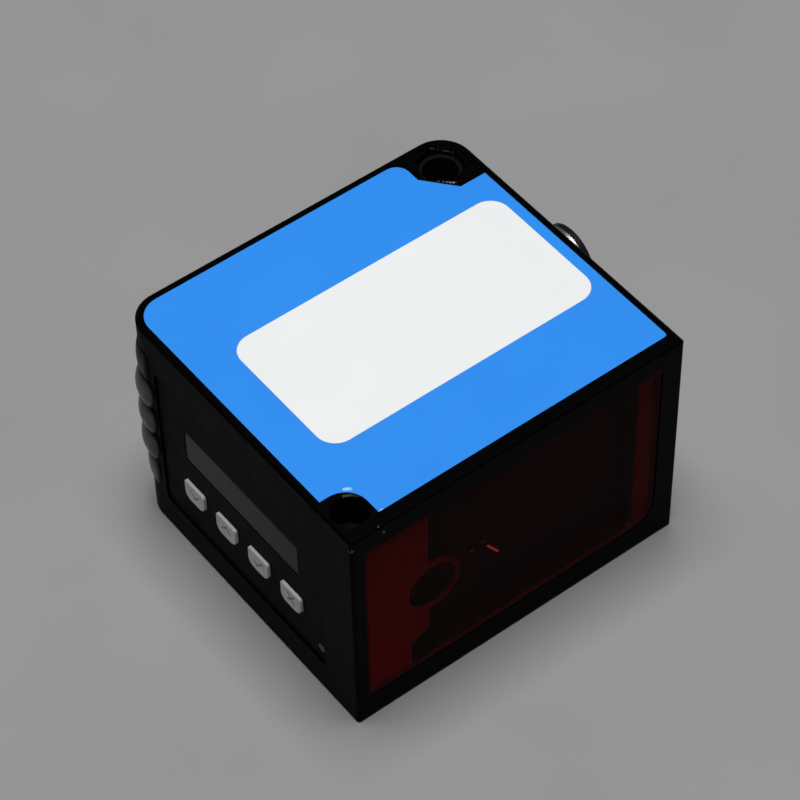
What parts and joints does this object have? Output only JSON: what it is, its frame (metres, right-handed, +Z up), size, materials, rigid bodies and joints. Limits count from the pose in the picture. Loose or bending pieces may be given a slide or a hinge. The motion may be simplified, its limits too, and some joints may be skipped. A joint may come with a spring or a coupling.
{
  "type": "laser distance sensor",
  "caption": "Box-shaped laser distance sensor with a red window, a small display with push keys, a ribbed back, a blue label and a round plug connector.",
  "frame": {"origin": "centre of the body's footprint, on the underside", "axes": "+Z up through the labelled side; the window looks along -Y, the display and keys along -X, the connector along +X"},
  "size_m": [0.0748, 0.0588, 0.044],
  "materials": {
    "black_casting": "satin black powder coat on a zinc die casting",
    "black_cover": "satin black paint",
    "gasket_rubber": "matt",
    "screw_steel": "bright zinc plated",
    "blue_film": "printed film, semi-gloss",
    "white_film": "printed film, semi-gloss",
    "red_pane": "polished, dark red filter",
    "pane_bead": "cured adhesive",
    "pale_plate": "smooth",
    "spring_steel": "bright",
    "black_chassis": "filled black plastic",
    "clear_lens": "coated",
    "brass_barrel": "turned",
    "can_gold": "gold plated",
    "can_steel": "plated",
    "board_green": "solder mask on glass fibre",
    "chip_black": "moulded",
    "panel_black": "fine grained",
    "smoke_glass": "smoke grey",
    "module_black": "smooth",
    "key_grey": "smooth",
    "stem_white": "smooth",
    "light_blue": "translucent dark blue",
    "flex_amber": "polyimide",
    "plug_nickel": "nickel plated brass",
    "insert_black": "moulded",
    "pin_gold": "gold plated",
    "seal_rubber": "matt"
  },
  "bodies": {
    "device": {"housing": "black_casting", "side_cover": "black_cover", "cover_gasket": "gasket_rubber", "cover_screws": "screw_steel", "side_label": "blue_film", "white_label": "white_film", "window": "red_pane", "window_seal": "pane_bead", "aperture_plate": "pale_plate", "lens_clip": "spring_steel", "optics_block": "black_chassis", "receiver_lens": "clear_lens", "emitter_lens": "clear_lens", "laser_barrel": "brass_barrel", "laser_diode": "can_gold", "detector": "can_gold", "receiver_board": "board_green", "shield_can": "can_steel", "optics_screws": "screw_steel", "main_board": "board_green", "board_parts": "chip_black", "board_screws": "screw_steel", "control_panel": "panel_black", "display_window": "smoke_glass", "display_module": "module_black", "display_board": "board_green", "display_screws": "screw_steel", "tact_switches": "chip_black", "status_light": "light_blue", "display_flex": "flex_amber", "power_flex": "flex_amber", "connector_shell": "plug_nickel", "connector_insert": "insert_black", "connector_pins": "pin_gold", "connector_seal": "seal_rubber", "connector_nut": "plug_nickel"},
    "down_key": {"key_down": "key_grey", "stem_down": "stem_white"},
    "up_key": {"key_up": "key_grey", "stem_up": "stem_white"},
    "accept_key": {"key_accept": "key_grey", "stem_accept": "stem_white"},
    "cancel_key": {"key_cancel": "key_grey", "stem_cancel": "stem_white"}
  },
  "joints": [
    {"name": "down_key_press", "type": "slide", "parent": "device", "child": "down_key", "axis": [1, 0, 0], "range_m": [0, 0.0005], "stiffness_N_per_m": 1500, "springref_m": -0.0002},
    {"name": "up_key_press", "type": "slide", "parent": "device", "child": "up_key", "axis": [1, 0, 0], "range_m": [0, 0.0005], "stiffness_N_per_m": 1500, "springref_m": -0.0002},
    {"name": "accept_key_press", "type": "slide", "parent": "device", "child": "accept_key", "axis": [1, 0, 0], "range_m": [0, 0.0005], "stiffness_N_per_m": 1500, "springref_m": -0.0002},
    {"name": "cancel_key_press", "type": "slide", "parent": "device", "child": "cancel_key", "axis": [1, 0, 0], "range_m": [0, 0.0005], "stiffness_N_per_m": 1500, "springref_m": -0.0002}
  ]
}
